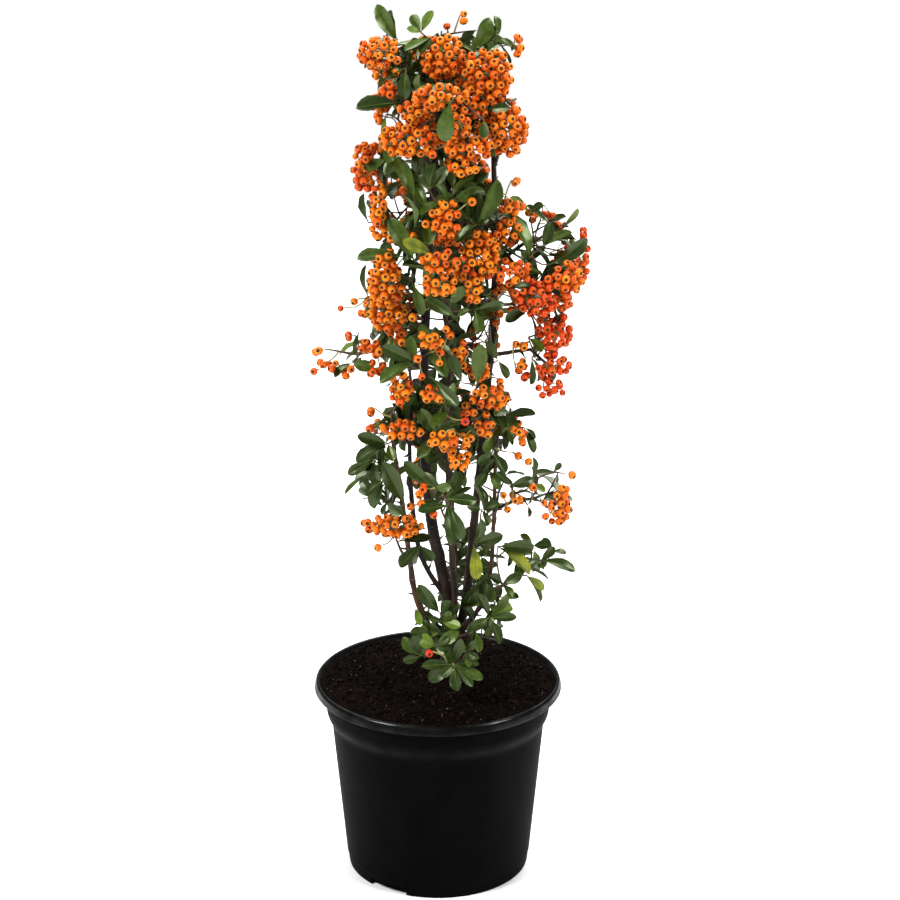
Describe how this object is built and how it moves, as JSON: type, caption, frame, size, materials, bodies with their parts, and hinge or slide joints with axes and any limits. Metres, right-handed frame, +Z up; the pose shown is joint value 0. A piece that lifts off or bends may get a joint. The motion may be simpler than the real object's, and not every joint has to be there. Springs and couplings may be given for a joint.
{
  "type": "firethorn shrub in a pot",
  "caption": "Upright young firethorn shrub with slim stems, leafy sprays and trusses of orange berries, growing in a round black nursery pot filled with dark soil.",
  "frame": {"origin": "middle of the pot's flat underside, where the pot stands on the ground", "axes": "+Z up along the pot's middle line; -Y is the front, the side with the most berries; +X is to the right seen from the front"},
  "size_m": [0.2422, 0.22, 0.7738],
  "materials": {
    "pot": "satin",
    "soil": "matte",
    "bark": "matte",
    "foliage": "satin"
  },
  "bodies": {
    "root": {"pot": "pot", "soil": "soil", "trunk": "bark", "stem_right": "bark", "stem_back": "bark", "stem_left": "bark", "stem_middle": "bark", "stem_inner": "bark", "stem_outer": "bark", "bough_left_spur": "bark", "bough_right_shoulder": "bark", "bough_right_tail": "bark", "bough_right_spray": "bark", "bough_right_low": "bark", "foliage_tip_left": "foliage", "foliage_tip_middle": "foliage", "foliage_tip_right": "foliage", "foliage_front_left": "foliage", "foliage_front_middle": "foliage", "foliage_front_right": "foliage", "foliage_crown_back": "foliage", "foliage_left_column": "foliage", "foliage_heart_upper": "foliage", "foliage_heart_right": "foliage", "foliage_back_upper": "foliage", "foliage_left_flank": "foliage", "foliage_left_spur": "foliage", "foliage_heart_lower": "foliage", "foliage_right_shoulder": "foliage", "foliage_right_bulge": "foliage", "foliage_right_tail": "foliage", "foliage_middle_left": "foliage", "foliage_middle_right": "foliage", "foliage_back_middle": "foliage", "foliage_low_left": "foliage", "foliage_low_middle": "foliage", "foliage_low_right": "foliage", "foliage_lower_left": "foliage", "foliage_left_truss": "foliage", "foliage_lower_front": "foliage", "foliage_lower_right": "foliage", "foliage_right_spray": "foliage", "foliage_back_low": "foliage", "foliage_right_low": "foliage", "foliage_base_left": "foliage", "foliage_base_front": "foliage", "foliage_base_right": "foliage", "foliage_back_base": "foliage"}
  },
  "joints": []
}
